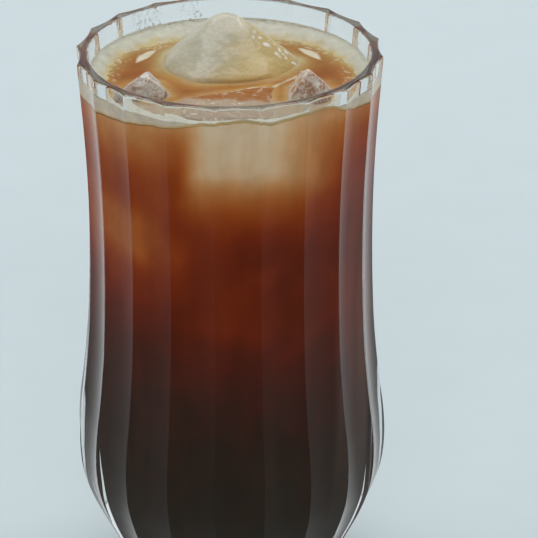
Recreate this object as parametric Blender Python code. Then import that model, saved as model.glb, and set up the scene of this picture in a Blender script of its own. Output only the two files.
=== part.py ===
"""Iced filter coffee in a fluted glass: the glass, the drink, its ring of foam and the ice that shows.

Metres, +Z up. The glass stands on z = 0 and its axis is the Z axis. The side to drink from, where
the front ice block shows through the wall, faces -Y.
"""

import math

import bmesh
import bpy
from mathutils import Matrix, Vector

MM = 0.001

# The glass: heights above the table, radii of the circle through the ridges.
GLASS_HEIGHT = 150 * MM
FLUTES = 20
COLUMNS_PER_FLUTE = 4
FIRST_RIDGE = math.radians(-6)
FLUTE_SAG = 0.0155
FOOT_RADIUS = 21.4 * MM
HEEL_RADIUS = 23.0 * MM
HEEL_HEIGHT = 0.8 * MM
RIM_EDGE = 0.6 * MM
OUTSIDE = [
    (4 * MM, 24.4 * MM),
    (13 * MM, 29.0 * MM),
    (22 * MM, 33.6 * MM),
    (33 * MM, 38.3 * MM),
    (43 * MM, 39.8 * MM),
    (52 * MM, 39.5 * MM),
    (62 * MM, 38.2 * MM),
    (78 * MM, 36.7 * MM),
    (102 * MM, 36.0 * MM),
    (125 * MM, 36.5 * MM),
    (150 * MM, 38.2 * MM),
]
INSIDE = [
    (13 * MM, 19.2 * MM),
    (30 * MM, 24.0 * MM),
    (44 * MM, 27.6 * MM),
    (60 * MM, 29.3 * MM),
    (80 * MM, 30.4 * MM),
    (102 * MM, 31.7 * MM),
    (125 * MM, 33.0 * MM),
    (150 * MM, 35.0 * MM),
]
BOWL_FLOOR = 8 * MM
OUTER_ROWS = 18
INNER_ROWS = 8
BOWL_ROWS = 3
BOWL_CORNER = math.radians(75)
RIM_ROWS = 2
SHARP_EDGE = math.radians(32)

# The drink.
GAP = 0.3 * MM
DRINK_LEVEL = GLASS_HEIGHT - 6.5 * MM
LEAST_ROW = 2 * MM
FOAM_THICKNESS = 1.3 * MM
FOAM_WIDTH = 6.2 * MM
FOAM_BEVEL = 0.5 * MM
FOAM_WAVES = [(1, 1.5 * MM, 3.14), (2, 2.3 * MM, 1.57), (7, 0.5 * MM, 1.9)]  # waves round the ring, size, start

# Each ice block is cut by flat faces: (way it faces round the glass, tilt upwards, distance from
# the block's middle), in degrees, degrees and millimetres. Way 0 is +X and way 90 is +Y.
ICE_CRISPNESS = 14
ICE_BLOCKS = {
    "ice_peak": {
        "detail": 4,
        "middle": (-1.0, 8.0, 140.5),
        "faces": [
            (-84, 54, 11.6),
            (-138, 50, 12.8),
            (172, 47, 13.3),
            (-35, 52, 13.2),
            (48, 36, 12.8),
            (115, 33, 12.8),
            (0, 90, 16.0),
            (-82, -45, 8.8),
            (-142, -42, 12.4),
            (178, -12, 16.6),
            (-8, -15, 18.8),
            (75, 0, 15.0),
            (0, -90, 12.5),
        ],
    },
    "ice_front": {
        "detail": 4,
        "middle": (0.0, -19.0, 132.0),
        "faces": [
            (-88, 0, 10.4),
            (112, 3, 8.4),
            (180, -10, 11.9),
            (-6, 14, 13.2),
            (-52, 0, 14.6),
            (-128, 0, 14.6),
            (0, 90, 12.2),
            (80, -82, 12.4),
        ],
    },
    "ice_left": {
        "detail": 3,
        "middle": (-20.0, -11.5, 137.5),
        "faces": [
            (-80, 28, 7.6),
            (150, 42, 8.4),
            (18, 36, 7.4),
            (48, -22, 6.2),
            (-150, -4, 7.4),
            (-70, -10, 5.6),
            (160, -4, 8.4),
            (-10, -12, 6.4),
            (95, 0, 7.6),
            (0, -90, 10.5),
        ],
    },
    "ice_right": {
        "detail": 3,
        "middle": (18.9, -11.9, 139.5),
        "faces": [
            (-78, 25, 7.4),
            (178, 38, 6.4),
            (20, 42, 7.4),
            (100, 5, 5.6),
            (-28, 0, 7.4),
            (-75, -6, 7.0),
            (180, -5, 5.4),
            (170, -32, 4.9),
            (0, -90, 7.0),
        ],
    },
}

GLASS_LOOK = ((0.93, 0.96, 0.96), 0.02)
COFFEE_LOOK = ((0.10, 0.028, 0.012), 0.08)
FOAM_LOOK = ((0.62, 0.54, 0.38), 0.55)
ICE_LOOK = ((0.60, 0.58, 0.50), 0.18)


def clear_scene():
    for thing in list(bpy.data.objects):
        bpy.data.objects.remove(thing, do_unlink=True)


def material(name, look, clear=0.0):
    colour, roughness = look
    made = bpy.data.materials.new(name)
    made.use_nodes = True
    shader = made.node_tree.nodes["Principled BSDF"]
    shader.inputs["Base Color"].default_value = (*colour, 1)
    shader.inputs["Roughness"].default_value = roughness
    shader.inputs["Metallic"].default_value = 0.0
    shader.inputs["Transmission Weight"].default_value = clear
    return made


def new_object(name, bm, look):
    """Turns a finished bmesh into an object with one material, smooth but for its sharp edges."""
    bmesh.ops.recalc_face_normals(bm, faces=bm.faces)
    mesh = bpy.data.meshes.new(name)
    bm.to_mesh(mesh)
    bm.free()
    mesh.shade_smooth()
    mesh.set_sharp_from_angle(angle=SHARP_EDGE)
    made = bpy.data.objects.new(name, mesh)
    made.data.materials.append(look)
    bpy.context.scene.collection.objects.link(made)
    return made


def smooth_curve(stations):
    """A smooth curve through stations of (height, radius), as a function of the height."""
    last = len(stations) - 1

    def lean(i):
        below, above = stations[max(i - 1, 0)], stations[min(i + 1, last)]
        return (above[1] - below[1]) / (above[0] - below[0])

    def radius(height):
        i = 0
        while i < last - 1 and height > stations[i + 1][0]:
            i += 1
        (low, start), (high, end) = stations[i], stations[i + 1]
        span = high - low
        t = (height - low) / span
        return (
            (2 * t**3 - 3 * t**2 + 1) * start
            + (t**3 - 2 * t**2 + t) * span * lean(i)
            + (3 * t**2 - 2 * t**3) * end
            + (t**3 - t**2) * span * lean(i + 1)
        )

    return radius


def flute_share(angle):
    """The outside's radius at an angle, as a share of its ridges': a chord, hollowed a little."""
    half = math.pi / FLUTES
    off_middle = (angle - FIRST_RIDGE) % (2 * half) - half
    chord = math.cos(half) / math.cos(off_middle)
    return chord - FLUTE_SAG * (1 - (off_middle / half) ** 2)


def even_heights(low, high, rows):
    return [low + (high - low) * i / rows for i in range(rows + 1)]


def ring(bm, height, radius_at, columns):
    """A closed ring of vertices round the axis."""
    turned = []
    for i in range(columns):
        angle = FIRST_RIDGE + 2 * math.pi * i / columns
        radius = radius_at(angle)
        turned.append(bm.verts.new((radius * math.cos(angle), radius * math.sin(angle), height)))
    return turned


def join_rings(bm, rings):
    for lower, upper in zip(rings, rings[1:]):
        count = len(lower)
        for i in range(count):
            j = (i + 1) % count
            bm.faces.new((lower[i], lower[j], upper[j], upper[i]))


def close_ring(bm, edge, height):
    """Closes a ring with a fan of triangles to a point on the axis."""
    middle = bm.verts.new((0, 0, height))
    for i, corner in enumerate(edge):
        bm.faces.new((corner, edge[(i + 1) % len(edge)], middle))


def bowl_wall():
    """The inner wall's section as (radius, height) points, from the drink's side to the floor."""
    inside = smooth_curve(INSIDE)
    low = INSIDE[0][0]
    side = [(inside(h), h) for h in even_heights(low, GLASS_HEIGHT - RIM_EDGE, INNER_ROWS)]
    corner = []
    for i in range(1, BOWL_ROWS + 1):
        turn = BOWL_CORNER * i / BOWL_ROWS
        radius = INSIDE[0][1] * math.cos(turn)
        corner.append((radius, low - (low - BOWL_FLOOR) * math.sin(turn)))
    return list(reversed(side)) + corner


def rim_edge():
    """A rounded edge of the flat rim, from the wall up: (how far in from the wall, height)."""
    turns = [math.pi / 2 * i / RIM_ROWS for i in range(1, RIM_ROWS + 1)]
    lip = GLASS_HEIGHT - RIM_EDGE
    return [(RIM_EDGE * (1 - math.cos(turn)), lip + RIM_EDGE * math.sin(turn)) for turn in turns]


def make_glass():
    """One turned solid: flat foot, fluted outside, flat rim with rounded edges, smooth inside."""
    bm = bmesh.new()
    columns = FLUTES * COLUMNS_PER_FLUTE
    outside, inside = smooth_curve(OUTSIDE), smooth_curve(INSIDE)
    lip = GLASS_HEIGHT - RIM_EDGE
    rings = [ring(bm, 0, lambda a: FOOT_RADIUS * flute_share(a), columns)]
    rings.append(ring(bm, HEEL_HEIGHT, lambda a: HEEL_RADIUS * flute_share(a), columns))
    for height in even_heights(OUTSIDE[0][0], lip, OUTER_ROWS):
        rings.append(ring(bm, height, lambda a, h=height: outside(h) * flute_share(a), columns))
    for step, height in rim_edge():
        rings.append(ring(bm, height, lambda a, s=step: outside(lip) * flute_share(a) - s, columns))
    for step, height in reversed(rim_edge()):
        rings.append(ring(bm, height, lambda a, s=step: inside(lip) + s, columns))
    for radius, height in bowl_wall():
        rings.append(ring(bm, height, lambda a, r=radius: r, columns))
    join_rings(bm, rings)
    close_ring(bm, rings[0], 0)
    close_ring(bm, rings[-1], BOWL_FLOOR)
    return new_object("glass", bm, material("clear_glass", GLASS_LOOK, clear=1.0))


def drink_section():
    """The drink's side as (radius, height) points: the bowl's wall, moved in by the gap."""
    wall = bowl_wall() + [(0.0, BOWL_FLOOR)]
    section = []
    for i in range(len(wall) - 1):
        before, after = wall[max(i - 1, 0)], wall[i + 1]
        along = Vector((after[0] - before[0], after[1] - before[1])).normalized()
        section.append((wall[i][0] + GAP * along.y, wall[i][1] - GAP * along.x))
    return section


def make_coffee(cutters):
    """The drink fills the bowl up to its level and is cut round the ice."""
    bm = bmesh.new()
    columns = FLUTES * COLUMNS_PER_FLUTE // 2
    top = smooth_curve(INSIDE)(DRINK_LEVEL) - GAP
    below = [(r, h) for r, h in drink_section() if h < DRINK_LEVEL - LEAST_ROW]
    rings = [ring(bm, h, lambda a, r=r: r, columns) for r, h in [(top, DRINK_LEVEL)] + below]
    join_rings(bm, rings)
    close_ring(bm, rings[0], DRINK_LEVEL)
    close_ring(bm, rings[-1], BOWL_FLOOR + GAP)
    coffee = new_object("coffee", bm, material("black_coffee", COFFEE_LOOK))
    cut_round(coffee, cutters)
    return coffee


def make_foam(cutters):
    """A flat ring of foam that lies on the drink along the wall, its inner edge uneven."""
    bm = bmesh.new()
    columns = FLUTES * COLUMNS_PER_FLUTE // 2
    low = DRINK_LEVEL + GAP
    high = low + FOAM_THICKNESS
    wall = smooth_curve(INSIDE)

    def inner_edge(angle):
        waves = sum(size * math.sin(count * angle + start) for count, size, start in FOAM_WAVES)
        return wall(low) - FOAM_WIDTH + waves

    rings = [
        ring(bm, low, lambda a: wall(low) - GAP, columns),
        ring(bm, high, lambda a: wall(high) - GAP, columns),
        ring(bm, high, lambda a: inner_edge(a) + FOAM_BEVEL, columns),
        ring(bm, low, inner_edge, columns),
    ]
    join_rings(bm, rings + rings[:1])
    foam = new_object("foam", bm, material("coffee_foam", FOAM_LOOK))
    cut_round(foam, cutters)
    return foam


def facing(way, tilt):
    """The unit vector of a face that looks a given way round the glass, tilted upwards."""
    round_the_glass = Matrix.Rotation(math.radians(way), 3, "Z")
    upwards = Matrix.Rotation(math.radians(-tilt), 3, "Y")
    return round_the_glass @ upwards @ Vector((1, 0, 0))


def ice_mesh(block, grown):
    """A ball pulled out to the block's flat faces, each moved out by grown, so its edges stay melted.

    Along a direction each face alone would stop the ball at distance / (face . direction). Adding
    up the faces with a high power lets the nearest one win, with a soft change from face to face.
    """
    bm = bmesh.new()
    bmesh.ops.create_icosphere(bm, subdivisions=block["detail"], radius=1.0)
    faces = [(facing(way, tilt), distance * MM + grown) for way, tilt, distance in block["faces"]]
    middle = Vector(block["middle"]) * MM
    for corner in bm.verts:
        out = corner.co.normalized()
        nearness = sum(max(0.0, face.dot(out) / distance) ** ICE_CRISPNESS for face, distance in faces)
        corner.co = middle + out * nearness ** (-1 / ICE_CRISPNESS)
    return bm


def make_ice(look):
    """The blocks that rise out of the drink, and for each a hidden cutter that is a gap larger."""
    cutters = []
    for name, block in ICE_BLOCKS.items():
        new_object(name, ice_mesh(block, 0.0), look)
        cutter = new_object("cutter_" + name, ice_mesh(block, GAP), look)
        cutter.hide_render = True
        cutter.display_type = "WIRE"
        cutters.append(cutter)
    return cutters


def cut_round(solid, cutters):
    for cutter in cutters:
        cut = solid.modifiers.new("cut_" + cutter.name, "BOOLEAN")
        cut.operation = "DIFFERENCE"
        cut.solver = "EXACT"
        cut.object = cutter


clear_scene()
make_glass()
ice_cutters = make_ice(material("cloudy_ice", ICE_LOOK))
make_coffee(ice_cutters)
make_foam(ice_cutters)
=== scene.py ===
# %% [markdown]
# # Iced filter coffee in a fluted glass
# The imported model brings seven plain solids: a glass with twenty flutes, the drink, its ring of
# foam and four ice blocks that rise out of the drink. This lesson keeps their sizes and places,
# and builds the finer pieces that a close look needs: smooth glass, a drink that glows where ice
# lies behind the wall, foam with bubbles, and cloudy ice.

import math

import bmesh
import bpy
import numpy as np
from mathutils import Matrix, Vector, noise
from mathutils.bvhtree import BVHTree


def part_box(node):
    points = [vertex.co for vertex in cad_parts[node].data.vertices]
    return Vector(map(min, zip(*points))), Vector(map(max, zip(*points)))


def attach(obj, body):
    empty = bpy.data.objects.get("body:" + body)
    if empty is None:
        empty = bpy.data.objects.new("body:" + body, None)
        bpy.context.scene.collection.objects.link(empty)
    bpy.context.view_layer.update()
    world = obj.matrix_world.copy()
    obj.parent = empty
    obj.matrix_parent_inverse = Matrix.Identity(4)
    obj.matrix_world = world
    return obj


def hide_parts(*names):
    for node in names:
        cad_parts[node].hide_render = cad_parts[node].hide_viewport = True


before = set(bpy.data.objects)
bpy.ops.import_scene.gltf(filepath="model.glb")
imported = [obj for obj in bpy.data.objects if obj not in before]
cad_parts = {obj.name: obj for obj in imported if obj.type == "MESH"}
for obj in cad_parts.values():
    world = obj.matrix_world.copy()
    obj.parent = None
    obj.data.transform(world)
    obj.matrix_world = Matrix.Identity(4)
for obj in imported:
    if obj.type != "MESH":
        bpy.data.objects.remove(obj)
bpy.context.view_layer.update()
MM = 0.001
print("nodes in the frame:", ", ".join(sorted(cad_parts)))

# %% [markdown]
# ## Reading the glass off the frame
# The glass was turned on its axis, so its solid is a stack of rings. A ring of the outside runs in
# and out over the flutes, and a ring of the inside is a plain circle, which tells them apart. So
# no radius has to be typed again.

# %% Rings of the solid glass
FLUTES = 20
HALF_FLUTE = math.pi / FLUTES
RIM_EDGE, SAME_HEIGHT = 0.6 * MM, 0.02 * MM
# How uneven the radii at one height are: a plain circle, and two rings at the same height.
PLAIN_CIRCLE, TWO_RINGS = 1.005, 1.05
OUTER_RING = 0.9
GLASS_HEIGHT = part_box("glass")[1].z
DRINK_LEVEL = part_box("coffee")[1].z
FOAM_LOW, FOAM_HIGH = (corner.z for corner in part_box("foam"))


def read_rings(corners):
    """Rings outside and inside as (height, radius), those outside at their ridges."""
    corners = corners[np.hypot(corners[:, 0], corners[:, 1]) > MM]
    corners = corners[np.argsort(corners[:, 2])]
    steps = np.where(np.diff(corners[:, 2]) > SAME_HEIGHT)[0] + 1
    outside, inside = [], []
    for ring in np.split(corners, steps):
        height, radius = ring[:, 2].mean(), np.hypot(ring[:, 0], ring[:, 1])
        if height > GLASS_HEIGHT - RIM_EDGE + SAME_HEIGHT:
            continue
        uneven = radius.max() / radius.min()
        if uneven > PLAIN_CIRCLE:
            outside.append((height, radius.max()))
        if not PLAIN_CIRCLE < uneven < TWO_RINGS:
            inside.append((height, radius.min()))
    return outside, inside


solid_glass = np.array([corner.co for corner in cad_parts["glass"].data.vertices])
outside_rings, inside_rings = read_rings(solid_glass)
farthest = solid_glass[np.argmax(np.hypot(solid_glass[:, 0], solid_glass[:, 1]))]
FIRST_RIDGE = math.atan2(farthest[1], farthest[0]) % (2 * HALF_FLUTE)
widest = np.hypot(*solid_glass[np.abs(solid_glass[:, 2] - farthest[2]) < SAME_HEIGHT, :2].T)
widest = widest[widest > OUTER_RING * widest.max()]
FLUTE_SAG = math.cos(HALF_FLUTE) - widest.min() / widest.max()
print(f"{len(outside_rings)} rings outside, {len(inside_rings)} inside, sag {FLUTE_SAG:.4f}")
print(f"first ridge at {math.degrees(FIRST_RIDGE):.1f} degrees, level {DRINK_LEVEL / MM:.1f} mm")

# %% [markdown]
# ## Smooth lines through a few points
# A pressed glass has no corners along its side, so the rings are joined by a curve that passes
# through each and leaves it in the direction of its neighbours. It works on points (radius,
# height), so it can also turn the corner at the bowl's floor.


# %% A curve through points
def smooth_line(points, step):
    """Points about a step apart on a smooth curve through (radius, height) points."""
    points = np.array(points)
    ends = np.vstack([2 * points[0] - points[1], points, 2 * points[-1] - points[-2]])
    line = []
    for before, start, end, after in zip(ends, ends[1:], ends[2:], ends[3:]):
        length = np.linalg.norm(end - start)
        lean_start = (end - before) / (np.linalg.norm(start - before) + length) * length
        lean_end = (after - start) / (np.linalg.norm(after - end) + length) * length
        count = max(1, round(length / step))
        for t in np.arange(count)[:, None] / count:
            line.append(
                (2 * t**3 - 3 * t**2 + 1) * start
                + (t**3 - 2 * t**2 + t) * lean_start
                + (3 * t**2 - 2 * t**3) * end
                + (t**3 - t**2) * lean_end
            )
    return np.array(line + [points[-1]]).reshape(-1, 2)


WALL_STEP = 1.3 * MM
outer_line = smooth_line([(r, h) for h, r in outside_rings], WALL_STEP)
inner_line = smooth_line([(r, h) for h, r in inside_rings], WALL_STEP)
print(f"outside {len(outer_line)} points, inside {len(inner_line)} points")


def inside_radius(height):
    """The radius of the bowl at a height."""
    return np.interp(height, inner_line[:, 1], inner_line[:, 0])


print(f"bowl radius at the drink's level: {inside_radius(DRINK_LEVEL) / MM:.2f} mm")

# %% [markdown]
# ## Turning a line into a mesh
# Everything round in a glass can be turned like on a potter's wheel: a line, repeated round the
# axis. A Screw modifier would do it, but the flutes need a radius that changes with the angle, so
# the rings are worked out here and handed to the mesh in one go.


# %% Rings to a mesh
def flute_share(angles):
    """The outside's radius at angles, as a share of that at the ridges."""
    off_middle = (angles - FIRST_RIDGE) % (2 * HALF_FLUTE) - HALF_FLUTE
    chord = math.cos(HALF_FLUTE) / np.cos(off_middle)
    return chord - FLUTE_SAG * (1 - (off_middle / HALF_FLUTE) ** 2)


def turn_angles(columns):
    return FIRST_RIDGE + 2 * math.pi * np.arange(columns) / columns


def new_piece(name, vertices, faces, sharp=None):
    """A mesh object, smooth but for edges sharper than an angle in degrees."""
    mesh = bpy.data.meshes.new(name)
    mesh.from_pydata(vertices, [], faces)
    tidy = bmesh.new()
    tidy.from_mesh(mesh)
    bmesh.ops.recalc_face_normals(tidy, faces=tidy.faces)
    tidy.to_mesh(mesh)
    tidy.free()
    mesh.shade_smooth()
    if sharp:
        mesh.set_sharp_from_angle(angle=math.radians(sharp))
    piece = bpy.data.objects.new(name, mesh)
    bpy.context.scene.collection.objects.link(piece)
    return piece


def turned_mesh(rings, closed=False):
    """Vertices and faces of stacked rings of points. Closed joins the last ring to the first."""
    rings = np.array(rings)
    count, columns = rings.shape[:2]
    index = np.arange(count * columns).reshape(count, columns)
    if closed:
        index = np.vstack([index, index[:1]])
    beside = np.roll(index, -1, axis=1)
    faces = np.stack([index[:-1], beside[:-1], beside[1:], index[1:]], axis=-1)
    return rings.reshape(-1, 3), faces.reshape(-1, 4)


def ring_at(radii, height, angles):
    """A ring of points; the radii and the height may change with the angle."""
    return np.stack(
        [radii * np.cos(angles), radii * np.sin(angles), height + 0 * angles], axis=-1
    )


# %% [markdown]
# ## The glass
# Twenty shallow flutes run up the outside, with a crisp ridge between two of them. The ridges bend
# what lies behind the wall, which is most of what one sees, so the wall needs many small faces:
# sixteen columns to a flute. The rim is ground flat, and only its two edges are rounded.

# %% The fine glass
GLASS_COLUMNS, RIM_TURNS, GLASS_SHARP = 16 * FLUTES, 4, 8


def rim_rounding():
    """The rim's rounded edge as (how far in from the wall, how far up)."""
    turns = np.linspace(0, math.pi / 2, RIM_TURNS + 1)[1:]
    return [(RIM_EDGE * (1 - math.cos(t)), RIM_EDGE * math.sin(t)) for t in turns]


def closed_body(rings, first_height, last_height):
    """A turned mesh with a fan of triangles from its first and its last ring to the axis."""
    vertices, faces = turned_mesh(rings)
    columns = len(rings[0])
    faces = list(faces)
    for start, height in ((0, first_height), (len(vertices) - columns, last_height)):
        edge, tip = start + np.arange(columns), len(vertices)
        faces += [(a, b, tip) for a, b in zip(edge, np.roll(edge, -1))]
        vertices = np.vstack([vertices, (0, 0, height)])
    return vertices, faces


def make_fine_glass():
    angles = turn_angles(GLASS_COLUMNS)
    share = flute_share(angles)
    (outer, lip), (inner, _) = outer_line[-1], inner_line[-1]
    rings = [ring_at(r * share, h, angles) for r, h in outer_line]
    rings += [ring_at(outer * share - s, lip + up, angles) for s, up in rim_rounding()]
    rings += [ring_at(inner + s, lip + up, angles) for s, up in reversed(rim_rounding())]
    rings += [ring_at(r, h, angles) for r, h in reversed(inner_line)]
    return new_piece("fluted_glass", *closed_body(rings, 0, inner_line[0][1]), GLASS_SHARP)


fluted_glass = make_fine_glass()
print("glass faces:", len(fluted_glass.data.polygons))

# %% [markdown]
# ## How coffee colours the light
# Coffee takes blue out of the light first, then green, and red last, so a pale thing behind it
# turns yellow, orange, red-brown and then nearly black as the way through it gets longer. A real
# volume renders slowly and is lost when the model is exported. So the drink is an opaque body, and
# its colour is worked out for each corner with the same law, from the way to something bright in
# millimetres.

# %% The law of the coffee's colour
COFFEE_TAKES = np.array((0.115, 0.35, 0.62))
PALE_LIGHT = np.array((0.80, 0.65, 0.46))


def through_coffee(pale, way):
    """The colour of pale light after its way in millimetres through coffee."""
    return np.asarray(pale) * np.exp(-np.outer(way, COFFEE_TAKES))


def smooth_step(value, start, end):
    """From 0 at start to 1 at end, with soft bends. Start may be the larger one."""
    t = np.clip((value - start) / (end - start), 0, 1)
    return t * t * (3 - 2 * t)


def covered(colours, share, paint):
    """Colours covered by a paint, with a share from 0 to 1 each."""
    return colours + np.asarray(share)[..., None] * (np.asarray(paint) - colours)


def noise_at(points, size, seed=0.0):
    """Smooth noise from about -1 to 1 at points, with patches of a size."""
    shift = Vector((seed, 2 * seed, 3 * seed))
    return np.array([noise.noise(Vector(point) / size + shift) for point in points])


def specks(points, size, seed, low, high):
    """1 where noise is above high and 0 where it is below low."""
    return smooth_step(noise_at(points, size, seed), low, high)


for way in (0, 3, 8):
    print(f"behind {way} mm of coffee:", through_coffee(PALE_LIGHT, [way])[0].round(3))

# %% [markdown]
# ## Where the foam ends
# The drink and its foam meet along two lines that both pieces need. On the wall the foam's lower
# edge runs in slow waves: high in front, where ice holds it up, and low at the sides. On the
# surface it ends at an uneven circle, wide at the back and narrow at the sides.

# %% The foam's edges
# The lower edge: degrees round from the front, and millimetres above the drink's level.
FOAM_EDGE = [
    (-180, -1.6), (-150, -2.6), (-120, -1.8), (-90, -3.6), (-77, -3.7), (-56, -2.7), (-45, -2.0),
    (-36, -1.1), (-23, -0.4), (-17, 0.4), (-11, 1.2), (-2, 1.9), (6, 2.3), (11, 1.7), (16, 1.0),
    (22, 1.4), (32, 2.2), (39, 2.4), (43, 2.0), (47, 1.0), (56, -1.1), (65, -1.9), (79, -3.0),
    (95, -3.2), (120, -1.9), (150, -2.4), (180, -1.6),
]
# The inner edge: its mean width, and waves as (how many round the glass, size, start).
FOAM_WIDTH = 6.2 * MM
FOAM_WAVES = [(1, 1.5 * MM, 3.14), (2, 2.3 * MM, 1.57), (7, 0.5 * MM, 1.9)]


def foam_edge(angles):
    """The height of the foam's lower edge at angles counted from +X."""
    round_the_glass = np.degrees(np.arctan2(np.cos(angles), -np.sin(angles)))
    places, heights = np.array(FOAM_EDGE).T
    return DRINK_LEVEL + np.interp(round_the_glass, places, heights) * MM


def foam_inner(angles):
    """The radius of the foam's inner edge at angles counted from +X."""
    swing = sum(size * np.sin(count * angles + start) for count, size, start in FOAM_WAVES)
    return inside_radius(FOAM_LOW) - FOAM_WIDTH + swing


edge_heights = [height for _, height in FOAM_EDGE]
print(f"foam edge from {min(edge_heights)} to {max(edge_heights)} mm above the drink")

# %% [markdown]
# ## What is bright in the drink
# Daylight comes in from above and is used up on the way down. Four ice blocks rise out of the
# drink, and their solids are in the frame. More ice lies under the surface, where it only lightens
# the drink between itself and the wall. So the sunken ice needs no mesh. It is a short list of
# windows on the wall, each with its gap of coffee between wall and ice.

# %% Ways to the light, in millimetres and degrees round from the front
SHOWN_ICE = ("ice_peak", "ice_front", "ice_left", "ice_right")
# Each window: its degrees, heights and gap, and how fast the way grows to the left of it, to the
# right, and above or below.
SUNKEN_ICE = {
    "front": ((-14, 20), (131, 148), 0.3, (1.6, 0.4, 0.62)),
    "right": ((24, 38), (127, 148), 3.3, (0.5, 0.5, 1.0)),
    "left": ((-60, -36), (139, 148), 2.9, (0.3, 0.4, 0.35)),
    "left_deep": ((-62, -42), (108, 116), 4.8, (0.2, 0.36, 0.55)),
    "deep_in_the_middle": ((-12, 12), (90, 103), 11.5, (0.5, 0.5, 0.6)),
    "deep_right": ((25, 60), (88, 112), 14.5, (0.5, 0.4, 0.5)),
}
EDGE_BLUR, MIX_REACH = 1.2, 1.2
EDGE_RAGGED, RAGGED_SIZE = 1.2, 6 * MM
FAR_AWAY, BEHIND_A_FACE = 1000.0, -0.7


def far_from_shown_ice(points):
    """How far points are from the frame's ice blocks in millimetres, and 0 inside them."""
    far = np.full(len(points), FAR_AWAY)
    for node in SHOWN_ICE:
        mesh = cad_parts[node].data
        faces = [face.vertices for face in mesh.polygons]
        tree = BVHTree.FromPolygons([corner.co for corner in mesh.vertices], faces)
        for i, point in enumerate(points):
            near, outward, _, distance = tree.find_nearest(Vector(point))
            if (Vector(point) - near).dot(outward) < BEHIND_A_FACE * distance:
                distance = 0.0
            far[i] = min(far[i], distance / MM)
    return far


def from_the_front(points):
    """Degrees round the glass: 0 at the front (-Y), growing to the right (+X)."""
    return np.degrees(np.arctan2(points[:, 0], -points[:, 1]))


def soft_past(distance):
    """0 before an edge and the distance past it, with a soft bend at the edge."""
    return EDGE_BLUR * np.log1p(np.exp(distance / EDGE_BLUR))


def way_to_sunken_ice(points):
    """For each window, the way from points on the wall to its ice."""
    ragged = EDGE_RAGGED * noise_at(points, RAGGED_SIZE, 2.0)
    round_the_glass, height = from_the_front(points), points[:, 2] / MM + ragged
    mm_per_degree = math.radians(np.hypot(points[:, 0], points[:, 1]).max() / MM)
    for (start, end), (low, high), gap, (leftwards, rightwards, upright) in SUNKEN_ICE.values():
        aside = leftwards * soft_past((start - round_the_glass) * mm_per_degree + ragged)
        aside += rightwards * soft_past((round_the_glass - end) * mm_per_degree + ragged)
        past = upright * (soft_past(low - height) + soft_past(height - high))
        yield gap + np.hypot(aside, past)


def nearest(ways):
    """The smallest of several ways, with soft changes from one to the next."""
    ways = np.array(list(ways))
    return -MIX_REACH * np.log(np.exp(-ways / MIX_REACH).sum(axis=0))


print("windows with sunken ice behind them:", ", ".join(SUNKEN_ICE))

# %% [markdown]
# ## What floats on the drink, and painted gleams
# In front a thin haze of foam and melt water lies on the surface. Two pale gleams of painted light
# lie along the foam, many bubbles drift there, and a pale skin runs on from the front block's edge
# to the right block. Haze, bubbles and skin are thinner than paper, so like the gleams they are
# painted and need no mesh. Each function gives a share from 0 to 1 at points.

# %% Haze, painted gleams, skin and bubbles, in millimetres and degrees counted from +X
HAZE_EDGE, HAZE_RAGGED, HAZE_PATCHES = (15.8, 18.8), 2.5, 4 * MM
# Two gleams of painted light along the foam: the degrees where each starts and ends.
GLEAM_SPANS = [(137, 162), (21, 46)]
GLEAM_RADIUS, GLEAM_WIDTH = 24.6, 1.5
GLEAM_EDGE, GLEAM_RAGGED, GLEAM_PATCHES = (0, 0.5), 0.2, 1.8 * MM
SKIN_START, SKIN_END = np.array((11.0, -8.0)), np.array((17.8, -0.3))
SKIN_EDGE, SKIN_RAGGED, SKIN_PATCHES = (0.6, 0.15), 0.3, 2 * MM
BUBBLES, BUBBLE_REACH = (0.9 * MM, 13.0, 0.2, 0.4), (4, 1)


def haze(points):
    """How much haze lies on the surface in front."""
    forward = -points[:, 1] / MM + HAZE_RAGGED * noise_at(points, HAZE_PATCHES)
    return smooth_step(forward, *HAZE_EDGE)


def gleams(points):
    """Gleams of painted light along the foam, widest in their middles."""
    way_round = np.degrees(np.arctan2(points[:, 1], points[:, 0]))
    across = np.abs(np.hypot(points[:, 0], points[:, 1]) / MM - GLEAM_RADIUS)
    ragged = GLEAM_RAGGED * noise_at(points, GLEAM_PATCHES, 4.0)
    there = np.zeros(len(points))
    for start, end in GLEAM_SPANS:
        middle, half = (start + end) / 2, (end - start) / 2
        width = GLEAM_WIDTH * (1 - (np.abs(way_round - middle) / half).clip(0, 1) ** 2)
        there = np.maximum(there, smooth_step(width - across + ragged, *GLEAM_EDGE))
    return there


def skin(points):
    """The pale skin between the front block's back edge and the right block."""
    line = SKIN_END - SKIN_START
    offset = points[:, :2] / MM - SKIN_START
    along = (offset @ line / (line @ line)).clip(0, 1)
    aside = np.hypot(*(offset - along[:, None] * line).T)
    return smooth_step(aside + SKIN_RAGGED * noise_at(points, SKIN_PATCHES), *SKIN_EDGE)


def bubbles(points, from_foam):
    return specks(points, *BUBBLES) * smooth_step(from_foam, *BUBBLE_REACH)


print(len(GLEAM_SPANS), "flakes, and a skin from", SKIN_START, "to", SKIN_END)
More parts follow.
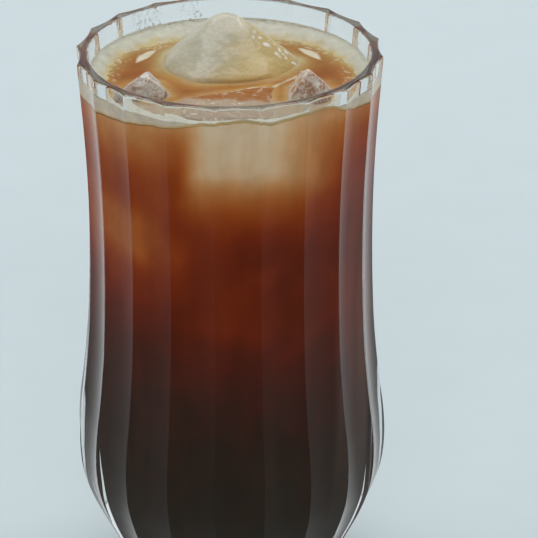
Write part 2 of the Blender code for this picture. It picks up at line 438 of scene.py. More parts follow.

# %% [markdown]
# ## The drink's colours
# Behind the wall the colour is pale light after its way through coffee. From above one looks
# through a thin layer only, and the light is weaker: yellow at the back and redder in front,
# between the blocks. The right edge gets some brown light from the room through the thick side of
# the flutes. What floats on the drink and the painted gleams cover the rest.

# %% Colours for points of the drink's skin
DAYLIGHT_WAY, DAYLIGHT_PER_DEPTH = 2.5, 0.46
SURFACE_WAY, FOAM_WAY, ICE_WAY = 5.4, 1.7, 1.0
WALL_WAY_PER_MM = 2.4
WAVER, WAVER_SIZE = 0.14, 7 * MM
FINE_WAVER, FINE_SIZE = 0.25, 2.2 * MM
BACK_LIGHT, FRONT_LIGHT = (0.35, 0.36, 0.25), (0.34, 0.25, 0.12)
FRONT_LIGHT_EDGE, FAR_DOWN_EDGE = (10, -6), (50, 80)
DEEP_COFFEE = np.array((0.015, 0.021, 0.008))
FAR_DOWN = np.array((0.012, 0.005, 0.010))
ROOM_EDGE = np.array((0.056, 0.038, 0.034))
# Where the right edge starts, ends and gets stronger, by how much, and its share at some heights.
EDGE_START, EDGE_END, EDGE_MORE, MORE = (52, 62), (100, 86), (68, 78), 0.6
EDGE_STRENGTH = (25, 50, 80, 122, 136), (0, 0.55, 1, 1, 0)
HAZE_PALE, HAZE_COVER = (0.32, 0.275, 0.205), 0.75
# One pale for the gleams of painted light, the skin and the bubbles, and how much each covers.
GLEAM_SKIN_AND_BUBBLE_PALE, GLEAM_COVER, SKIN_COVER, BUBBLE_COVER = (0.52, 0.49, 0.38), 0.8, 0.6, 0.4


def distance_to_foam(points):
    """How far points are from the foam's inner edge, in millimetres."""
    inner = foam_inner(np.arctan2(points[:, 1], points[:, 0]))
    return (inner - np.hypot(points[:, 0], points[:, 1])).clip(0) / MM


def way_to_light(points, depth, from_ice, from_foam, on_top):
    """The way from points to what is bright, in millimetres of coffee."""
    surface = nearest([SURFACE_WAY + 0 * depth, FOAM_WAY + from_foam])
    daylight = np.where(on_top, surface, DAYLIGHT_WAY + DAYLIGHT_PER_DEPTH * depth)
    sunken = [np.where(on_top, FAR_AWAY, way) for way in way_to_sunken_ice(points)]
    per_mm = np.where(on_top, 1.0, WALL_WAY_PER_MM)
    way = nearest([daylight, ICE_WAY + per_mm * from_ice, *sunken])
    way = way * (1 + WAVER * noise_at(points, WAVER_SIZE))
    return (way + FINE_WAVER * noise_at(points, FINE_SIZE, 5.0)).clip(0)


def light_from_the_room(points):
    """How much of the room's light the drink's right edge gets."""
    aside, height = from_the_front(points), points[:, 2] / MM
    edge = smooth_step(aside, *EDGE_START) * smooth_step(aside, *EDGE_END)
    edge = edge * (1 + MORE * smooth_step(aside, *EDGE_MORE))
    return edge * np.interp(height, *EDGE_STRENGTH)


def drink_colour(points, from_ice, on_top):
    """Linear colours of the drink at points of its skin."""
    depth = np.maximum(DRINK_LEVEL - points[:, 2], 0) / MM
    from_foam = distance_to_foam(points)
    way = way_to_light(points, depth, from_ice, from_foam, on_top)
    front = smooth_step(points[:, 1] / MM, *FRONT_LIGHT_EDGE)
    surface = covered(through_coffee(BACK_LIGHT, way), front, through_coffee(FRONT_LIGHT, way))
    colours = np.where(on_top[:, None], surface, through_coffee(PALE_LIGHT, way)) + DEEP_COFFEE
    colours += smooth_step(depth, *FAR_DOWN_EDGE)[:, None] * FAR_DOWN
    colours += (light_from_the_room(points) * ~on_top)[:, None] * ROOM_EDGE
    # The gleams are painted light on the surface; the skin and the bubbles are pale things on it.
    pale = np.maximum(GLEAM_COVER * gleams(points), SKIN_COVER * skin(points))
    pale = np.maximum(pale, BUBBLE_COVER * bubbles(points, from_foam))
    colours = covered(colours, pale * on_top, GLEAM_SKIN_AND_BUBBLE_PALE)
    return covered(colours, HAZE_COVER * haze(points) * on_top, HAZE_PALE)


for depth in (10, 40, 90):
    way = DAYLIGHT_WAY + DAYLIGHT_PER_DEPTH * depth
    print(f"{depth} mm down:", (through_coffee(PALE_LIGHT, [way])[0] + DEEP_COFFEE).round(3))

# %% [markdown]
# ## The drink
# The drink fills the bowl up to its level and reaches a little into the wall, so no air gap shows.
# It climbs by a fraction of a millimetre at the ice, and at the wall as far up as the foam's edge.

# %% The drink's body
DRINK_COLUMNS, CLIMB_ROWS, DRINK_SHARP = 320, 4, 40
DRINK_STEP, SURFACE_STEP = 1.0 * MM, 0.4 * MM
INTO_THE_WALL, BEHIND_THE_FOAM = 0.15 * MM, 0.4 * MM
MENISCUS, MENISCUS_WIDTH = 0.55 * MM, 0.9
# The climb at the ice gets lower towards the front, between two places along Y.
CALM_EDGE, CALM_SHARE = (-5, -8), 0.73


def paint(piece, colours):
    """Stores a colour for each corner of the mesh, to be read by its material."""
    layer = piece.data.color_attributes.new("glow", "FLOAT_COLOR", "POINT")
    opaque = np.hstack([np.clip(colours, 0, 1), np.ones((len(colours), 1))])
    layer.data.foreach_set("color", opaque.astype(np.float32).ravel())


def drink_rings(angles):
    """Rings up the wall and over the surface, and how many are on the wall."""
    wall = [(r + INTO_THE_WALL, h) for r, h in smooth_line(inner_line, DRINK_STEP)]
    low = DRINK_LEVEL - DRINK_STEP
    rings = [ring_at(r, h, angles) for r, h in wall if h < low]
    climb = np.maximum(foam_edge(angles) + BEHIND_THE_FOAM, DRINK_LEVEL)
    for share in np.linspace(0, 1, CLIMB_ROWS + 1)[1:]:
        height = low + (climb - low) * share
        rings.append(ring_at(inside_radius(height) + INTO_THE_WALL, height, angles))
    wall_rings = len(rings)
    edge = inside_radius(DRINK_LEVEL) + INTO_THE_WALL
    for radius in np.linspace(edge, SURFACE_STEP, round(edge / SURFACE_STEP))[1:]:
        rings.append(ring_at(radius, DRINK_LEVEL, angles))
    return rings, wall_rings


def make_drink():
    rings, wall_rings = drink_rings(turn_angles(DRINK_COLUMNS))
    vertices, faces = closed_body(rings, inner_line[0][1] - INTO_THE_WALL, DRINK_LEVEL)
    on_top = np.arange(len(vertices)) >= wall_rings * DRINK_COLUMNS
    on_top[-2] = False  # the point in the middle of the bowl's floor
    from_ice = far_from_shown_ice(vertices)
    colours = drink_colour(vertices, from_ice, on_top)
    calm = CALM_SHARE * smooth_step(vertices[:, 1] / MM, *CALM_EDGE)
    climb = MENISCUS * (1 - calm) * np.exp(-from_ice / MENISCUS_WIDTH)
    vertices[:, 2] += on_top * climb
    drink = new_piece("dark_coffee", vertices, faces, DRINK_SHARP)
    paint(drink, colours)
    return drink


dark_coffee = make_drink()
print("drink corners:", len(dark_coffee.data.vertices))

# %% [markdown]
# ## The ring of foam
# Filter coffee poured over ice leaves a thin foam that the wall holds on to. The flat ring is
# little more than a haze: pale at the wall, and yellow-brown where it thins out over the drink.
# Its few fine bubbles are pressed into the mesh with a cell pattern, because real dents catch the
# light at every angle.

# %% The foam
FOAM_COLUMNS, FOAM_ROWS, SKIRT_ROWS = 720, 26, 9
FIRST_SKIRT_SHARES = 0.06, 0.12
FOAM_REACH, FOAM_CLIMB = 0.28 * MM, 0.8 * MM
CLIMB_WIDTH, FALL_FROM = 0.3, 0.3
# Small waves of the edges: the radius of a circle, then (size, patches, start of the noise).
INNER_WAVES = 25 * MM, [(0.8 * MM, 2.4 * MM, 0.0), (0.4 * MM, 0.9 * MM, 3.0)]
SKIRT_WAVES = 33 * MM, [(0.3 * MM, 2.5 * MM, 0.0)]
LUMPS, LUMP_SIZE = 0.2 * MM, 5 * MM
DENTS, CELL_SIZE = 0.12 * MM, 0.9 * MM
FOAM_PALE, FOAM_YELLOW, FOAM_DOTS = (0.39, 0.385, 0.315), (0.36, 0.27, 0.10), (0.24, 0.19, 0.10)
# The skirt, the foam's upright face on the wall, is painted brighter than its top: its own pale
# with painted light added.
SKIRT_PALE_AND_LIGHT, SKIRT_LINE, UNDER_LINE = (0.69, 0.62, 0.49), (0.60, 0.44, 0.19), (0.30, 0.15, 0.05)
# The line on the foam's lower edge: millimetres above the edge, and the line's share at each.
LINE_PROFILE = (0.05, 0.5, 0.9), (1, 1, 0)
YELLOW_EDGE, YELLOW_RAGGED, YELLOW_PATCHES = (0.5, 1.1), 0.2, 3 * MM
DOTS, DOT_REACH, DOTS_AT_THE_BACK = (0.8 * MM, 11.0, 0.1, 0.35), (0.4, 0.1), (15, 28)
DOT_COVER = 0.6


def small_waves(angles, waves):
    radius, sizes = waves
    circle = ring_at(radius, 0, angles)
    return sum(size * noise_at(circle, patches, seed) for size, patches, seed in sizes)


def cell_share(point):
    """0 in the middle of a cell of foam and near 1 at the border between two cells."""
    nearest_middle, next_middle = noise.voronoi(Vector(point) / CELL_SIZE)[0][:2]
    return min(1.0, nearest_middle / max(next_middle, 1e-6))


def top_colours(share, places):
    """Colours across the top: pale at the wall, yellower inwards, and brown dots at the back."""
    yellow = smooth_step(share + YELLOW_RAGGED * noise_at(places, YELLOW_PATCHES), *YELLOW_EDGE)
    dots = specks(places, *DOTS) * smooth_step(share, *DOT_REACH)
    dots = dots * smooth_step(places[:, 1] / MM, *DOTS_AT_THE_BACK)
    tone = covered(FOAM_PALE, yellow * (1 - haze(places)), FOAM_YELLOW)
    return covered(tone, DOT_COVER * dots, FOAM_DOTS)


def foam_skirt(angles, skirt, top):
    """Rings and colours up the wall, from the foam's lower edge to its top."""
    rings, colours = [], []
    narrow, wide = FIRST_SKIRT_SHARES
    for share in [0, narrow, *np.linspace(wide, 1, SKIRT_ROWS - 2)]:
        height = skirt + (top - skirt) * share
        rings.append(ring_at(inside_radius(height) + FOAM_REACH, height, angles))
        line = np.interp((height - skirt) / MM, *LINE_PROFILE)
        tone = covered(SKIRT_PALE_AND_LIGHT, line, SKIRT_LINE)
        colours.append(tone if share >= wide else 0 * tone + UNDER_LINE)
    return rings, colours


def foam_top(angles, outer, inner, top):
    """Rings and colours from the wall in to the foam's inner edge."""
    rings, colours = [], []
    for share in np.linspace(0, 1, FOAM_ROWS)[1:]:
        fall = 1 - smooth_step(share, FALL_FROM, 1.0)
        climb = (top - FOAM_HIGH) * (1 - smooth_step(share, 0, CLIMB_WIDTH))
        height = DRINK_LEVEL + (FOAM_HIGH - DRINK_LEVEL) * fall + climb
        rings.append(ring_at(outer + (inner - outer) * share, height, angles))
        colours.append(top_colours(share, rings[-1]))
    return rings, colours


def make_foam_ring():
    angles = turn_angles(FOAM_COLUMNS)
    inner = foam_inner(angles) + small_waves(angles, INNER_WAVES)
    skirt = foam_edge(angles) + small_waves(angles, SKIRT_WAVES)
    top = np.maximum(FOAM_HIGH, skirt + FOAM_CLIMB)
    rings, colours = foam_skirt(angles, skirt, top)
    outer = np.hypot(rings[-1][:, 0], rings[-1][:, 1])
    more_rings, more_colours = foam_top(angles, outer, inner, top)
    back = ring_at(inside_radius(FOAM_LOW) - 2 * FOAM_REACH, skirt, angles)
    vertices, faces = turned_mesh([*rings, *more_rings, back], closed=True)
    on_top = slice(SKIRT_ROWS * FOAM_COLUMNS, (SKIRT_ROWS + FOAM_ROWS - 2) * FOAM_COLUMNS)
    dents = np.array([1 - cell_share(point) for point in vertices[on_top]])
    lumps = noise_at(vertices[on_top], LUMP_SIZE)
    vertices[on_top, 2] += LUMPS * lumps - DENTS * dents
    ring = new_piece("foam_ring", vertices, faces)
    paint(ring, np.vstack([*colours, *more_colours, more_colours[-1]]))
    return ring


foam_ring = make_foam_ring()
print("foam faces:", len(foam_ring.data.polygons))

# %% [markdown]
# ## The ice
# Each block in the frame is a smooth solid with soft corners. Ice that has stood in coffee is
# matte and has shallow hollows and small chips. The solid is copied, remeshed into even small
# faces, and each corner is moved along its normal by a mix of noises, so the block stays in place.

# %% Finer ice blocks
# For each block, in millimetres: the size of its faces, and how deep its hollows and chips are.
ICE_SIZES = {
    "ice_peak": (0.42, 0.22, 0.08),
    "ice_front": (0.4, 0.2, 0.2),
    "ice_left": (0.3, 0.35, 0.3),
    "ice_right": (0.3, 0.35, 0.3),
}
# Noises are named by the size of their patches and where each noise starts.
WIDE_HOLLOWS, SMALL_HOLLOWS, SMALL_SHARE = (9 * MM, 0.0), (4 * MM, 4.0), 0.5
CHIP_EDGES, CHIP_DENTS, DENT_SHARE = (2.6 * MM, 0.0), (1.1 * MM, 7.0), 0.6


def remeshed(node, name, voxel):
    """A copy of a node's mesh in even faces."""
    draft = bpy.data.objects.new(name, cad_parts[node].data.copy())
    bpy.context.scene.collection.objects.link(draft)
    even = draft.modifiers.new("even", "REMESH")
    even.mode = "VOXEL"
    even.voxel_size = voxel
    done = draft.evaluated_get(bpy.context.evaluated_depsgraph_get())
    mesh = bpy.data.meshes.new_from_object(done)
    draft.modifiers.clear()
    draft.data = mesh
    mesh.materials.clear()
    mesh.shade_smooth()
    return draft


def ice_relief(hollows, chips, places):
    """How far points of the ice move out: wide hollows and small chips."""
    hollow = noise_at(places, *WIDE_HOLLOWS) + SMALL_SHARE * noise_at(places, *SMALL_HOLLOWS)
    chip = np.abs(noise_at(places, *CHIP_EDGES))
    chip = chip - DENT_SHARE * np.abs(noise_at(places, *CHIP_DENTS))
    return hollows * hollow + chips * chip


def make_ice(node):
    """A finer block, and where its corners were before they moved."""
    face_size, hollows, chips = (size * MM for size in ICE_SIZES[node])
    block = remeshed(node, node + "_cloudy", face_size)
    count = len(block.data.vertices)
    places, outward = np.empty(3 * count), np.empty(3 * count)
    block.data.vertices.foreach_get("co", places)
    block.data.vertices.foreach_get("normal", outward)
    places, outward = places.reshape(-1, 3), outward.reshape(-1, 3)
    moved = places + outward * ice_relief(hollows, chips, places)[:, None]
    block.data.vertices.foreach_set("co", moved.ravel())
    block.data.update()
    return block, places


finer_ice = {node: make_ice(node) for node in SHOWN_ICE}
for node, (block, _) in finer_ice.items():
    print(node, "faces:", len(block.data.polygons))

# %% [markdown]
# ## The ice's colours
# Pale ice shows through a film of coffee that is thickest where a block leaves the drink, and
# painted light from the drink yellows it there too. A deeper tone takes over where coffee is in
# the
# ice. Frost lies on top: a crack on the large block, the back edge of the front one, and fine
# cracks on the small ones. Painted glints, highlights in the frost's pale, lie along the large
# block's ridge and on the front block.

# %% Tones, film, painted drink light, frost and painted glints
# For each block: its pale tone, and the tone where more coffee is in or on the ice.
ICE_TONES = {
    "ice_peak": ((0.40, 0.38, 0.29), (0.43, 0.335, 0.15)),
    "ice_front": ((0.33, 0.28, 0.21), (0.26, 0.098, 0.022)),
    "ice_left": ((0.40, 0.355, 0.30), (0.28, 0.19, 0.14)),
    "ice_right": ((0.45, 0.38, 0.32), (0.31, 0.18, 0.12)),
}
# The pale of frost, also used for the painted glints, which are painted highlights.
FROST_AND_GLINTS = (0.62, 0.60, 0.54)
# A film of coffee and painted light from the drink, strongest where a block leaves the drink.
FILM_AND_DRINK_LIGHT, WET_HEIGHT = {"ice_peak": 1.3, "ice_left": 0.7, "ice_right": 0.7}, 1.2
PATCHES = 3 * MM, 8.0
# Lines on a face of a block, in millimetres: a place on the line, and its lean.
DEEP_LINE, DEEP_EDGE, DEEP_RAGGED = ((5, 155), -1), (-5, 9), 1.5
CRACK_LINE, CRACK_EDGE, CRACK_ABOVE = ((2.6, 154.6), 0.3), (0.6, 0), (9, 10.5)
RIDGE_LINE, RIDGE_EDGE, RIDGE_RIGHT_OF = ((7.6, 6.6), 0.63), (1.1, 0.4), (4, 6)
BACK_LINE, BACK_EDGE, BACK_RAGGED = ((-11.4, 1.2), -0.36), (-0.9, -0.3), 0.5
FILM_RAGGED, CRACK_COVER, BACK_COVER, GLINT_COVER = 0.1, 0.5, 0.75, 0.5
# Specks as (size, start of the noise, low, high).
# The glints are painted highlights.
RIDGE_GLINTS, GLINTS = (1.2 * MM, 2.0, 0.24, 0.36), (0.9 * MM, 2.0, 0.2, 0.45)
GLINT_PATCHES, HAZE_ON_ICE = (-0.2, 0.3), 0.8
BROWN_PATCHES, BROWN_AMOUNT = (2.2 * MM, 8.0), (-0.15, 0.2)
BROWN_SHARE = {"ice_left": -0.08, "ice_right": 0.08}
# Fine cracks as (size, start of the noise, width, cover).
FINE_CRACKS = [(1.6 * MM, 6.0, 0.1, 0.8), (1.0 * MM, 3.0, 0.13, 0.7)]


def past_line(across, up, line):
    """How far points are past a leaning line on a face."""
    (line_across, line_up), lean = line
    return across - line_across - lean * (line_up - up)


def peak_marks(places, patches):
    """The large block: deeper to the right and low down, a crack, and glints on its ridge."""
    x, height = places[:, 0] / MM, places[:, 2] / MM
    above = (places[:, 2] - DRINK_LEVEL) / MM
    deep = smooth_step(past_line(x, height, DEEP_LINE) + DEEP_RAGGED * patches, *DEEP_EDGE)
    crack = smooth_step(np.abs(past_line(x, height, CRACK_LINE) + patches), *CRACK_EDGE)
    crack = CRACK_COVER * crack * smooth_step(above, *CRACK_ABOVE)
    ridge = smooth_step(np.abs(past_line(above, x, RIDGE_LINE)), *RIDGE_EDGE)
    ridge = ridge * smooth_step(x, *RIDGE_RIGHT_OF)
    return deep, np.maximum(crack, ridge * specks(places, *RIDGE_GLINTS))


def front_marks(places, patches):
    """The front block: deep but for the haze on it, with glints and a pale back edge."""
    x, y = places[:, 0] / MM, places[:, 1] / MM
    back_edge = smooth_step(past_line(y, x, BACK_LINE) + BACK_RAGGED * patches, *BACK_EDGE)
    glints = GLINT_COVER * specks(places, *GLINTS) * smooth_step(patches, *GLINT_PATCHES)
    return 1 - HAZE_ON_ICE * haze(places), np.maximum(glints, BACK_COVER * back_edge)


def small_block_marks(places, brown):
    """The small blocks: brown patches, and fine cracks where a noise crosses zero."""
    deep = smooth_step(noise_at(places, *BROWN_PATCHES) + brown, *BROWN_AMOUNT)
    pale_marks = 0
    for size, seed, width, cover in FINE_CRACKS:
        lines = (1 - np.abs(noise_at(places, size, seed)) / width).clip(0)
        pale_marks = np.maximum(pale_marks, cover * lines)
    return deep, pale_marks


def ice_colours(node, places):
    """Block colours: two tones, a coffee film with painted drink light, frost and painted glints.
    """
    patches = noise_at(places, *PATCHES)
    above = (places[:, 2] - DRINK_LEVEL).clip(0) / MM
    film_and_light = FILM_AND_DRINK_LIGHT.get(node, 0) * np.exp(-above / WET_HEIGHT)
    if node == "ice_peak":
        deep, pale_marks = peak_marks(places, patches)
        film_and_light = (film_and_light + FILM_RAGGED * patches).clip(0)
    elif node == "ice_front":
        deep, pale_marks = front_marks(places, patches)
    else:
        deep, pale_marks = small_block_marks(places, BROWN_SHARE[node])
    pale_tone, deep_tone = ICE_TONES[node]
    tone = covered(pale_tone, deep, deep_tone) * through_coffee((1, 1, 1), film_and_light)
    return covered(tone, pale_marks, FROST_AND_GLINTS)


for node, (block, places) in finer_ice.items():
    paint(block, ice_colours(node, places))
ice_blocks = {node: block for node, (block, _) in finer_ice.items()}
print("painted blocks:", ", ".join(ice_blocks))

# %% [markdown]
# ## Shader maths
# The materials are written as sums. A Term wraps one socket, and the usual signs add the Math node
# that does the sum, so 1 - mask reads as it would on paper. Every other node comes from
# Recipe.node: its kind, its settings and what goes into its sockets.


# %% Terms and recipes
class Term:
    """One socket that takes part in sums."""

    def __init__(self, recipe, socket):
        self.recipe = recipe
        self.socket = socket

    def sum_with(self, operation, *values):
        return self.recipe.node("Math", {"operation": operation}, dict(enumerate(values)))

    def __add__(self, other):
        return self.sum_with("ADD", self, other)

    def __rsub__(self, other):
        return self.sum_with("SUBTRACT", other, self)

    def __mul__(self, other):
        return self.sum_with("MULTIPLY", self, other)

    __radd__ = __add__
    __rmul__ = __mul__


NOISE_MIDDLE = 0.3, 0.7


class Recipe:
    """A node tree that is being written."""

    def __init__(self, tree):
        self.tree = tree

    def node(self, kind, settings=None, sockets=None, out=0):
        """Adds a node: settings first, then the values or links of its sockets."""
        made = self.tree.nodes.new("ShaderNode" + kind)
        for key, value in (settings or {}).items():
            setattr(made, key, value)
        self.fill(made, sockets or {})
        return Term(self, made.outputs[out])

    def fill(self, node, sockets):
        for key, value in sockets.items():
            if isinstance(value, Term):
                self.tree.links.new(value.socket, node.inputs[key])
            else:
                node.inputs[key].default_value = value

    def blend(self, factor, first, second):
        """Mixes two colours by a factor."""
        settings = {"data_type": "RGBA", "clamp_factor": True}
        return self.node("Mix", settings, {"Factor": factor, 6: first, 7: second}, out=2)

    def scaled(self, colour, share):
        """A colour made lighter or darker by a share."""
        return self.node("VectorMath", {"operation": "SCALE"}, {0: colour, "Scale": share})

    def painted(self):
        """The colour that was stored on the mesh."""
        return self.node("Attribute", {"attribute_name": "glow"})

    def patchy(self, noise_value, shades):
        """Goes between two shades in soft patches."""
        return self.ramp(noise_value, *NOISE_MIDDLE, *shades)

    def bump(self, strength, distance, height):
        sockets = {"Strength": strength, "Distance": distance, "Height": height}
        return self.node("Bump", sockets=sockets)

    def place(self):
        return self.node("TexCoord", out=3)

    def noise(self, size, detail=2.0, where=None):
        """Noise from about 0 to 1 with patches of a size in metres."""
        sockets = {"Vector": where or self.place(), "Scale": 1 / size, "Detail": detail}
        return self.node("TexNoise", {"noise_dimensions": "3D"}, sockets)

    def along(self, axis):
        """The place along X, Y or Z (0, 1 or 2), in metres."""
        return self.node("SeparateXYZ", sockets={0: self.place()}, out=axis)

    def ramp(self, value, low, high, start=0.0, end=1.0):
        """Goes from start to end while a value goes from low to high."""
        sockets = {0: value, 1: low, 2: high, 3: start, 4: end}
        return self.node("MapRange", {"clamp": True}, sockets)


def paint_colour(red, green, blue):
    """A linear colour from the 0 to 255 values of a paint chart."""
    parts = [part / 255 for part in (red, green, blue)]
    linear = [p / 12.92 if p <= 0.04045 else ((p + 0.055) / 1.055) ** 2.4 for p in parts]
    return (*linear, 1)


def new_finish(name, fixed, varying):
    """A Principled material: fixed values, and a function for what varies."""
    made = bpy.data.materials.new(name)
    made.use_nodes = True
    recipe = Recipe(made.node_tree)
    shader = made.node_tree.nodes["Principled BSDF"]
    recipe.fill(shader, fixed)
    recipe.fill(shader, varying(recipe))
    return made


# %% [markdown]
# ## Clear glass
# The glass is colourless, with the index of soda-lime glass. Pressed glass is never quite flat: a
# very weak bump makes reflections swim a little along the flutes. Roughness stays a fixed number,
# because a changing one would make an exported glass look frosted. A few drops have dried on the
# far wall and tint it. The rim's flat looks grey, and darker to the right, because one looks
# through it down the wall into the drink; this painted shade gets a finish of its own.


# %% The glass finish
GLASS_INDEX = 1.5
TINTS, TINT_SIZE = [(0.985, 0.992, 0.99, 1), (1, 1, 1, 1)], 40 * MM
SWIM_SIZE, SWIM_BUMP = 9 * MM, (0.05, 0.2 * MM)
# Each group of splashes: from and to across the glass, and how far up.
SPLASHES = [(-26 * MM, -17 * MM, 9 * MM), (-13 * MM, -6 * MM, 8 * MM)]
SPLASH_BROWN, SPLASH_FADE, SPLASH_START = (0.30, 0.22, 0.14, 1), 1.5 * MM, 0.5 * MM
DROP_SIZE, DROP_EDGE, FAR_WALL = 0.9 * MM, (0.57, 0.64), (24 * MM, 26 * MM)
# The rim's greys and its darkening to the right are painted shade.
RIM_SHADE_GREYS, RIM_PATCHES = [(0.12, 0.13, 0.14, 1), (0.26, 0.25, 0.23, 1)], 6 * MM
RIM_DARKER, RIM_ROUGHNESS, FACES_UP = (10 * MM, 36 * MM, 1.0, 0.65), 0.05, 0.6


def splashes(r):
    """Where small dried drops of coffee are on the far wall, above the foam."""
    drops = r.ramp(r.noise(DROP_SIZE), *DROP_EDGE)
    far = r.ramp(r.along(1), *FAR_WALL)
    share = 0.0
    for left, right, reach in SPLASHES:
        across = r.ramp(r.along(0), left, left + SPLASH_FADE)
        across = across * r.ramp(r.along(0), right - SPLASH_FADE, right, 1.0, 0.0)
        share = share + across * r.ramp(r.along(2), DRINK_LEVEL, DRINK_LEVEL + reach, 1.0, 0.0)
    above = r.ramp(r.along(2), DRINK_LEVEL - SPLASH_START, DRINK_LEVEL)
    return drops * far * above * share


def glass_varies(r):
    clear = r.blend(r.noise(TINT_SIZE), *TINTS)
    return {
        "Base Color": r.blend(splashes(r), clear, SPLASH_BROWN),
        "Normal": r.bump(*SWIM_BUMP, r.noise(SWIM_SIZE, 1.0)),
    }


def rim_varies(r):
    greys = r.blend(r.noise(RIM_PATCHES), *RIM_SHADE_GREYS)
    return {"Base Color": r.scaled(greys, r.ramp(r.along(0), *RIM_DARKER))}


glass_like = {"IOR": GLASS_INDEX, "Transmission Weight": 1.0}
clear_glass = new_finish("clear_glass", {**glass_like, "Roughness": 0.0}, glass_varies)
rim_glass = new_finish("rim_glass", {**glass_like, "Roughness": RIM_ROUGHNESS}, rim_varies)
for finish in (clear_glass, rim_glass):
    fluted_glass.data.materials.append(finish)
for face in fluted_glass.data.polygons:
    on_the_rim = face.center.z > GLASS_HEIGHT - RIM_EDGE / 2 and face.normal.z > FACES_UP
    face.material_index = int(on_the_rim)
print("glass index:", GLASS_INDEX)

# %% [markdown]
# ## Coffee
# The colours stored on the mesh come in through an Attribute node. They are paint that the room
# has to light, with a faint glow of their own on top, because the light in a drink comes from
# everywhere, also from behind. Streaks of melted ice run down in it. Only the open surface is
# shiny, since nothing shines where the drink touches the glass.


# %% The coffee finish
SURFACE_SHINE, SHINE_EDGE = 0.3, (DRINK_LEVEL - 0.2 * MM, DRINK_LEVEL - 0.05 * MM)
STREAK_NOISE, STREAK_STRETCH = (5 * MM, 3.0), (1.0, 1.0, 0.22)
STREAK_RANGE, COFFEE_GLOW = (0.35, 0.7, 0.91, 1.06), 0.3


def coffee_varies(r):
    upright = r.node("VectorMath", {"operation": "MULTIPLY"}, {0: r.place(), 1: STREAK_STRETCH})
    streak = r.ramp(r.noise(*STREAK_NOISE, upright), *STREAK_RANGE)
    colour = r.scaled(r.painted(), streak)
    open_surface = r.ramp(r.along(2), *SHINE_EDGE, 0.0, SURFACE_SHINE)
    return {"Base Color": colour, "Emission Color": colour, "Coat Weight": open_surface}


coffee_finish = new_finish(
    "filter_coffee",
    {
        "Roughness": 0.5,
        "Specular IOR Level": 0.0,
        "Coat IOR": 1.33,
        "Coat Roughness": 0.04,
        "Emission Strength": COFFEE_GLOW,
    },
    coffee_varies,
)
dark_coffee.data.materials.append(coffee_finish)
print("the coffee's own glow:", COFFEE_GLOW)

# %% [markdown]
# ## Foam
# The foam's colour was painted on its mesh. Here it only gets soft patches and a fine grain, and a
# glow of its own on top, because foam and ice let daylight through from behind.


# %% The foam finish
FOAM_GLOW = 0.3
FOAM_PATCHES, PATCH_SHADES = (2.5 * MM, 4.0), (0.88, 1.08)
FOAM_GRAIN, GRAIN_BUMP = (0.8 * MM, 3.0), (0.25, 0.1 * MM)


def foam_varies(r):
    colour = r.scaled(r.painted(), r.patchy(r.noise(*FOAM_PATCHES), PATCH_SHADES))
    grain = r.bump(*GRAIN_BUMP, r.noise(*FOAM_GRAIN))
    return {"Base Color": colour, "Emission Color": colour, "Normal": grain}


foam_finish = new_finish(
    "coffee_foam",
    {"Roughness": 0.55, "Specular IOR Level": 0.2, "Emission Strength": FOAM_GLOW},
    foam_varies,
)
foam_ring.data.materials.append(foam_finish)
print("the foam's own glow:", FOAM_GLOW)

# %% [markdown]
# ## Cloudy ice
# The ice is matte and lets light sink in a little, so its shadows are soft. A fine grain breaks up
# the shine. The top of the front block lies under a skin of drink, where a shine would turn it
# grey, so its wet finish has less of it.


# %% The ice finish
ICE_GLOW, ICE_INDEX = 0.15, 1.31
CLOUDS, CLOUD_SHADES, CLOUD_ROUGHNESS = (6 * MM, 4.0), (0.97, 1.03), (0.22, 0.4)
SPECKS, SPECK_SHADES = (0.7 * MM, 2.0), (0.94, 1.06)
ICE_GRAIN, ICE_BUMP = (1.0 * MM, 3.0), (0.5, 0.15 * MM)


def ice_varies(r):
    cloud = r.noise(*CLOUDS)
    shades = r.patchy(cloud, CLOUD_SHADES) * r.patchy(r.noise(*SPECKS), SPECK_SHADES)
    colour = r.scaled(r.painted(), shades)
    return {
        "Base Color": colour,
        "Emission Color": colour,
        "Roughness": r.patchy(cloud, CLOUD_ROUGHNESS),
        "Normal": r.bump(*ICE_BUMP, r.noise(*ICE_GRAIN)),
    }


ice_like = {
    "IOR": ICE_INDEX,
    "Subsurface Weight": 0.3,
    "Subsurface Scale": 3 * MM,
    "Emission Strength": ICE_GLOW,
}
ice_finish = new_finish("cloudy_ice", {**ice_like, "Coat Weight": 0.3}, ice_varies)
wet_ice_finish = new_finish("wet_ice", {**ice_like, "Specular IOR Level": 0.15}, ice_varies)
for node, block in ice_blocks.items():
    block.data.materials.append(wet_ice_finish if node == "ice_front" else ice_finish)
print("ice finish on", len(ice_blocks), "blocks")

# %% [markdown]
# ## Joining the pieces to the frame
# Nothing moves in a glass of coffee, so every piece rides on the one body, and each stands for its
# solid, which is then not shown.

# %% Pieces and what they stand for
pieces = {"glass": fluted_glass, "coffee": dark_coffee, "foam": foam_ring, **ice_blocks}
for node, piece in pieces.items():
    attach(piece, "root")
    "ice" if node in SHOWN_ICE else node
    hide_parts(node)
print(len(pieces), "pieces stand for", len(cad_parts), "nodes")

# %% [markdown]
# ## Floor, light and camera
# Clear glass shows its surroundings more than itself. The room is bright behind and dim in front,
# which draws the dark and light lines along the flutes. The floor is pale and plain, without a
# mirror image, which would wash out the drink.

# %% The floor
FLOOR_HALF = 3.0
FLOOR_TONES = [paint_colour(195, 207, 211), paint_colour(200, 212, 216)]
FLOOR_GRAIN = 20 * MM, 5.0


def floor_varies(r):
    return {"Base Color": r.blend(r.noise(*FLOOR_GRAIN), *FLOOR_TONES)}


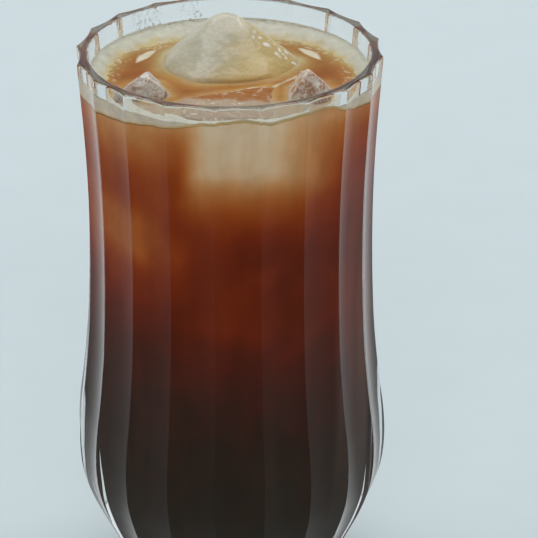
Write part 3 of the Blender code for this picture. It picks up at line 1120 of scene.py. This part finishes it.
corners = [(x * FLOOR_HALF, y * FLOOR_HALF, 0) for x, y in ((-1, -1), (1, -1), (1, 1), (-1, 1))]
floor = new_piece("floor", corners, [(0, 1, 2, 3)])
floor_fixed = {"Roughness": 0.9, "Specular IOR Level": 0.1}
floor.data.materials.append(new_finish("pale_floor", floor_fixed, floor_varies))
floor.visible_glossy = False
print("floor side:", 2 * FLOOR_HALF, "m")

# %% The room's light
# How bright the room and its floor are in front, at the side and at the back.
ROOM, FAR_FLOOR = (0.08, 0.45, 1.0), (0.03, 0.35, 0.85)
# Directions as shares of straight back, from -1 in front to 1 behind, and of straight up.
ROOM_FROM, FLOOR_FROM = -1.0, -0.95
SIDEWAYS, BACKWARDS = 0.45, 0.8
HORIZON = -0.05, 0.05
HIGH, HIGH_SHARE = (0.2, 0.5), 0.5
ROOM_TONE = paint_colour(235, 243, 246)

room = bpy.data.worlds.new("soft_room")
room.use_nodes = True
bpy.context.scene.world = room
air = Recipe(room.node_tree)
towards = {0: air.node("TexCoord")}
to_the_back, upwards = (air.node("SeparateXYZ", sockets=towards, out=axis) for axis in (1, 2))


def front_to_back(start, levels):
    """Light that grows from the front over the side to the back."""
    front, side, back = levels
    to_the_side = air.ramp(to_the_back, start, SIDEWAYS, front, side)
    return to_the_side + air.ramp(to_the_back, SIDEWAYS, BACKWARDS, 0.0, back - side)


above = front_to_back(ROOM_FROM, ROOM) * air.ramp(upwards, *HIGH, 1.0, HIGH_SHARE)
below = front_to_back(FLOOR_FROM, FAR_FLOOR)
over_the_edge = air.ramp(upwards, *HORIZON)
strength = above * over_the_edge + below * (1 - over_the_edge)
air.fill(room.node_tree.nodes["Background"], {"Color": ROOM_TONE, "Strength": strength})


LAMP_TARGET = Vector((0, 0, 0.1))


def soft_light(name, place, size, power):
    lamp = bpy.data.lights.new(name, "AREA")
    lamp.shape = "RECTANGLE"
    lamp.size, lamp.size_y = size
    lamp.energy = power
    light = bpy.data.objects.new(name, lamp)
    bpy.context.scene.collection.objects.link(light)
    light.location = place
    light.rotation_euler = (LAMP_TARGET - Vector(place)).to_track_quat("-Z", "Y").to_euler()
    return light


# Each lamp: where it hangs, its size, and its power in watts. Both face the drink.
CEILING_LAMP = (0, 0.5, 1.3), (1.6, 1.2), 19.5
FRONT_LAMP = (0, -2.2, 1.2), (2.0, 1.5), 20
soft_light("ceiling_light", *CEILING_LAMP)
front_light = soft_light("front_light", *FRONT_LAMP)
front_light.visible_glossy = False
front_light.visible_transmission = False

# %% The camera
RIM_WIDTH = 2 * 38 * MM
CAMERA_PITCH = math.radians(22)
CAMERA_AWAY = 11 * RIM_WIDTH
CAMERA_AIM = Vector((9.8 * MM, 0, 90 * MM))
RIM_PIXELS, FRAME_PIXELS = 307.2, 538
SENSOR, NEAREST_SEEN, BOUNCES = 36.0, 0.01, 14

view = bpy.data.cameras.new("view")
view.sensor_width = SENSOR
view.lens = SENSOR * RIM_PIXELS / FRAME_PIXELS * CAMERA_AWAY / RIM_WIDTH
view.clip_start = NEAREST_SEEN
camera = bpy.data.objects.new("camera", view)
bpy.context.scene.collection.objects.link(camera)
camera.location = (
    0,
    -CAMERA_AWAY * math.cos(CAMERA_PITCH),
    GLASS_HEIGHT + CAMERA_AWAY * math.sin(CAMERA_PITCH),
)
camera.rotation_euler = (CAMERA_AIM - camera.location).to_track_quat("-Z", "Y").to_euler()
scene = bpy.context.scene
scene.camera = camera
scene.view_settings.view_transform = "Standard"
# A sight line through the glass crosses many walls.
scene.cycles.max_bounces = BOUNCES
scene.cycles.transmission_bounces = BOUNCES
print(f"lens {view.lens:.0f} mm at {CAMERA_AWAY:.2f} m")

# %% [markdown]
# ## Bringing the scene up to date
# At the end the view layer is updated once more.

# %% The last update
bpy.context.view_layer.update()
